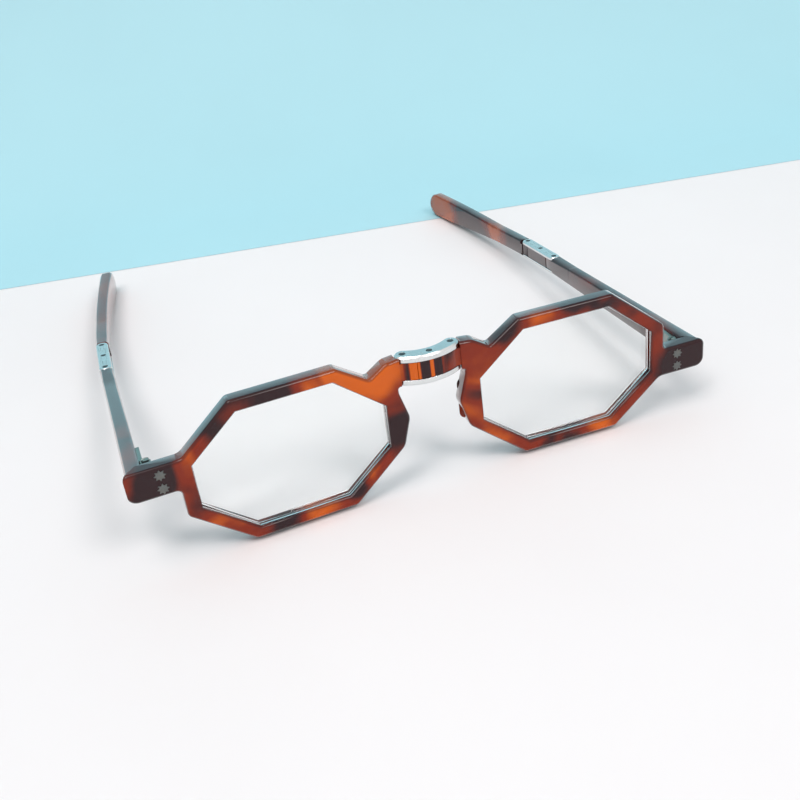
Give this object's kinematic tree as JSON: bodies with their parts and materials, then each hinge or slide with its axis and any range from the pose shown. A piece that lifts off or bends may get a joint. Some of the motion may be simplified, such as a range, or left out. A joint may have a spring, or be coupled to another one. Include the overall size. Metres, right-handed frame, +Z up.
{
  "type": "folding eyeglasses",
  "caption": "Folding octagonal eyeglasses with flat-sided lenses in tortoiseshell rims, a hinged metal bridge link and temples that fold at a metal link in the middle.",
  "frame": {"origin": "on the surface that the glasses stand on, in the middle of the bounding box", "axes": "+X towards the wearer's left, +Y from the front of the rims back along the open temples, +Z up"},
  "size_m": [0.1396, 0.1474, 0.0362],
  "materials": {
    "acetate": "polished tortoiseshell, amber patches on dark red-brown",
    "lens": "clear, polished",
    "plate_metal": "bright plated, lightly worn",
    "hinge_metal": "dull plated",
    "star_metal": "dull plated",
    "rivet_metal": "dark, dull"
  },
  "bodies": {
    "bridge_link": {"bridge_top_plate": "plate_metal", "bridge_bottom_plate": "plate_metal", "bridge_block": "acetate", "bridge_right_pin": "rivet_metal", "bridge_left_pin": "rivet_metal", "bridge_rivet": "rivet_metal"},
    "right_front": {"right_rim": "acetate", "right_lens": "lens", "right_hinge_front_leaf": "hinge_metal", "right_hinge_screw": "rivet_metal", "right_star_rivet_upper": "star_metal", "right_star_rivet_lower": "star_metal"},
    "right_temple": {"right_temple_front": "acetate", "right_hinge_rear_leaf": "hinge_metal"},
    "right_link": {"right_link_top_plate": "plate_metal", "right_link_bottom_plate": "plate_metal", "right_link_block": "acetate", "right_link_front_pin": "rivet_metal", "right_link_rear_pin": "rivet_metal", "right_link_rivet": "rivet_metal"},
    "right_earpiece": {"right_temple_rear": "acetate"},
    "left_front": {"left_rim": "acetate", "left_lens": "lens", "left_hinge_front_leaf": "hinge_metal", "left_hinge_screw": "rivet_metal", "left_star_rivet_upper": "star_metal", "left_star_rivet_lower": "star_metal"},
    "left_temple": {"left_temple_front": "acetate", "left_hinge_rear_leaf": "hinge_metal"},
    "left_link": {"left_link_top_plate": "plate_metal", "left_link_bottom_plate": "plate_metal", "left_link_block": "acetate", "left_link_front_pin": "rivet_metal", "left_link_rear_pin": "rivet_metal", "left_link_rivet": "rivet_metal"},
    "left_earpiece": {"left_temple_rear": "acetate"}
  },
  "joints": [
    {"name": "right_bridge_fold", "type": "hinge", "parent": "bridge_link", "child": "right_front", "pos_m": [-0.00575, -0.06847, 0.02844], "axis": [0, -0.0772, -0.997], "range_deg": [0, 44.5]},
    {"name": "right_temple_fold", "type": "hinge", "parent": "right_front", "child": "right_temple", "pos_m": [-0.06433, -0.06734, 0.02218], "axis": [0, -0.1832, -0.9831], "range_deg": [0, 88]},
    {"name": "right_link_front_fold", "type": "hinge", "parent": "right_temple", "child": "right_link", "pos_m": [-0.06743, -0.00163, 0.01086], "axis": [0, -0.1076, -0.9942], "range_deg": [-2, 88]},
    {"name": "right_link_rear_fold", "type": "hinge", "parent": "right_link", "child": "right_earpiece", "pos_m": [-0.06687, 0.01427, 0.00914], "axis": [0, -0.1076, -0.9942], "range_deg": [-2, 88]},
    {"name": "left_bridge_fold", "type": "hinge", "parent": "bridge_link", "child": "left_front", "pos_m": [0.00575, -0.06847, 0.02844], "axis": [0, 0.0772, 0.997], "range_deg": [0, 44.5]},
    {"name": "left_temple_fold", "type": "hinge", "parent": "left_front", "child": "left_temple", "pos_m": [0.06433, -0.06794, 0.0144], "axis": [0, 0.0267, 0.9996], "range_deg": [0, 88]},
    {"name": "left_link_front_fold", "type": "hinge", "parent": "left_temple", "child": "left_link", "pos_m": [0.06743, -0.00178, 0.00893], "axis": [0, 0.0772, 0.997], "range_deg": [-2, 88]},
    {"name": "left_link_rear_fold", "type": "hinge", "parent": "left_link", "child": "left_earpiece", "pos_m": [0.06687, 0.01416, 0.00769], "axis": [0, 0.0772, 0.997], "range_deg": [-2, 88]}
  ]
}
